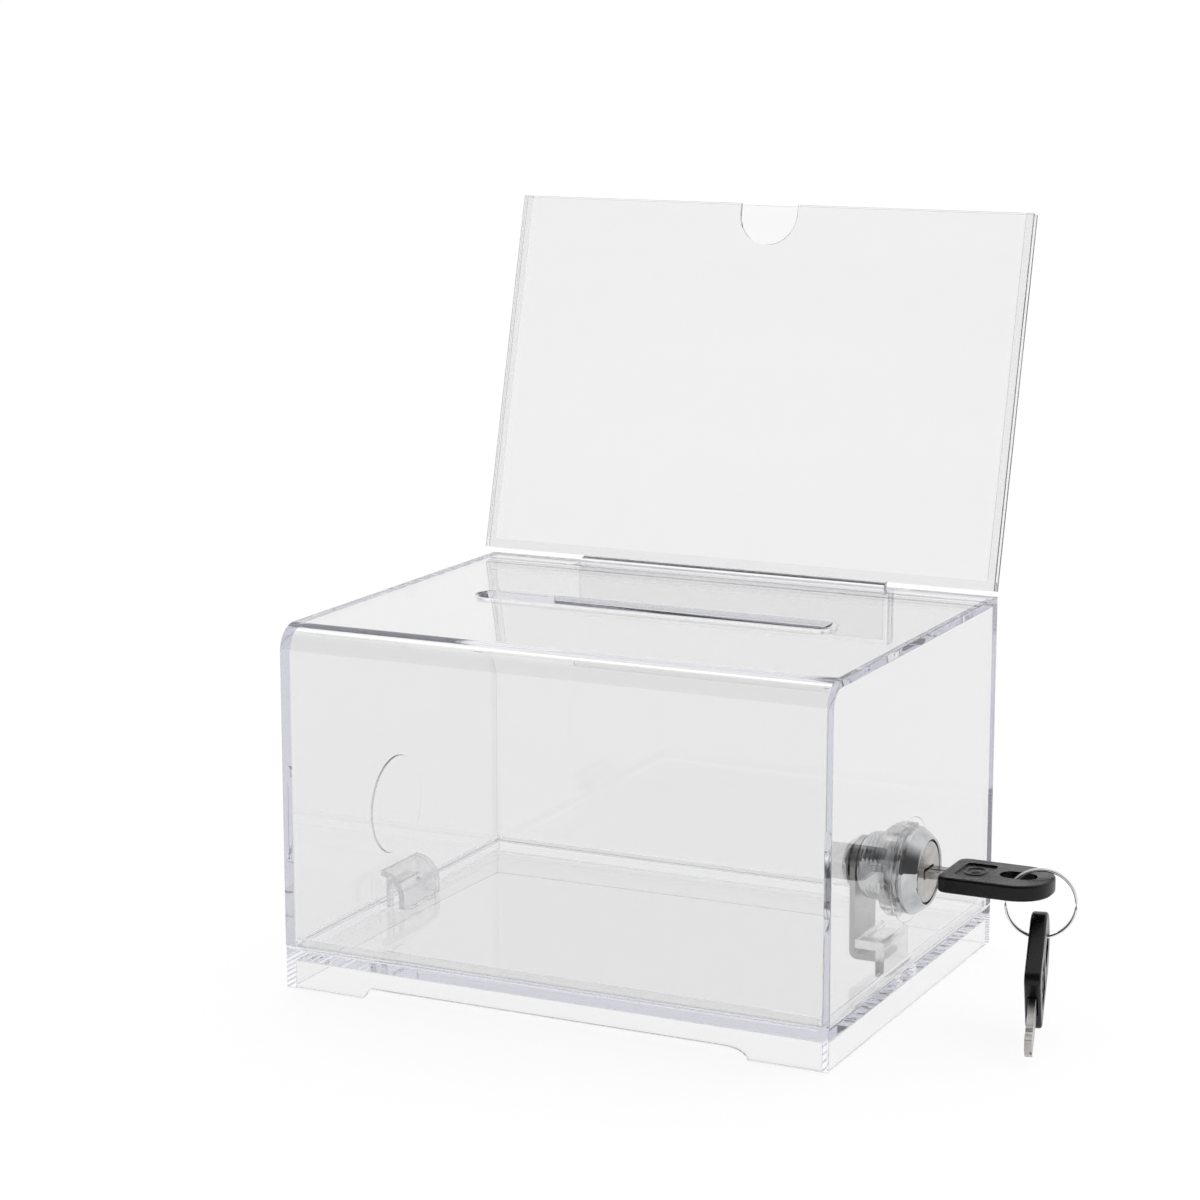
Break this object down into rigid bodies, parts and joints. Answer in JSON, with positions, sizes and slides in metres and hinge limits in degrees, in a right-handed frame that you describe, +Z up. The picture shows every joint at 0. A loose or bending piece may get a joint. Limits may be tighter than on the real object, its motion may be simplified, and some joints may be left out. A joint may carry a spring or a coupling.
{
  "type": "donation box",
  "caption": "Clear lockable donation box with a funnelled money slot, a leaning sign holder in a top sleeve, a side cam lock, and keys on a split ring.",
  "frame": {"origin": "middle of the lower edge of the base's rear skirt, on the surface that the box stands on", "axes": "+Z up; -Y towards the giver, whom the sign faces; +X towards the wall that carries the lock"},
  "size_m": [0.1982, 0.144, 0.2004],
  "materials": {
    "clear_cover": "polished clear",
    "clear_base": "polished clear",
    "clear_sheet": "polished clear",
    "frosted": "frosted",
    "clear_nut": "translucent",
    "chrome": "polished",
    "nickel": "satin nickel",
    "washer_steel": "satin",
    "cam_steel": "zinc plated",
    "bright_steel": "bright",
    "wafer_brass": "satin",
    "key_plastic": "satin black"
  },
  "bodies": {
    "box": {"base_tray": "clear_base", "left_catch": "frosted", "right_catch": "frosted", "cover_shell": "clear_cover", "lock_housing": "chrome", "lock_nut": "clear_nut"},
    "sign_holder": {"sign_front_sheet": "clear_sheet", "sign_back_sheet": "clear_sheet", "sign_left_strip": "clear_sheet", "sign_right_strip": "clear_sheet", "sign_tongue_strip": "clear_sheet"},
    "lock_core": {"lock_plug": "nickel", "wafer_1": "wafer_brass", "wafer_2": "wafer_brass", "wafer_3": "wafer_brass", "wafer_4": "wafer_brass", "wafer_spring_1": "washer_steel", "wafer_spring_2": "washer_steel", "wafer_spring_3": "washer_steel", "wafer_spring_4": "washer_steel", "stop_washer": "washer_steel", "lock_cam": "cam_steel", "spring_washer": "washer_steel", "cam_screw": "bright_steel"},
    "key_in_lock": {"key_1_head": "key_plastic", "key_1_blade": "nickel"},
    "key_ring": {"split_ring": "bright_steel"},
    "spare_key": {"key_2_head": "key_plastic", "key_2_blade": "nickel"}
  },
  "joints": [
    {"name": "sign_lift", "type": "slide", "parent": "box", "child": "sign_holder", "axis": [0, 0, 1], "range_m": [0, 0.02]},
    {"name": "lock_turn", "type": "hinge", "parent": "box", "child": "lock_core", "pos_m": [0.07, -0.0612, 0.0372], "axis": [-1, 0, 0], "range_deg": [0, 90]},
    {"name": "key_pull", "type": "slide", "parent": "lock_core", "child": "key_in_lock", "axis": [1, 0, 0], "range_m": [0, 0.012]},
    {"name": "ring_swing", "type": "hinge", "parent": "key_in_lock", "child": "key_ring", "pos_m": [0.1046, -0.0612, 0.0372], "axis": [-0.9397, -0.342, 0], "range_deg": [0, 20]},
    {"name": "spare_key_swing", "type": "hinge", "parent": "key_ring", "child": "spare_key", "pos_m": [0.11144, -0.05871, 0.0229], "axis": [-0.9703, -0.2419, 0], "range_deg": [0, 15]}
  ]
}
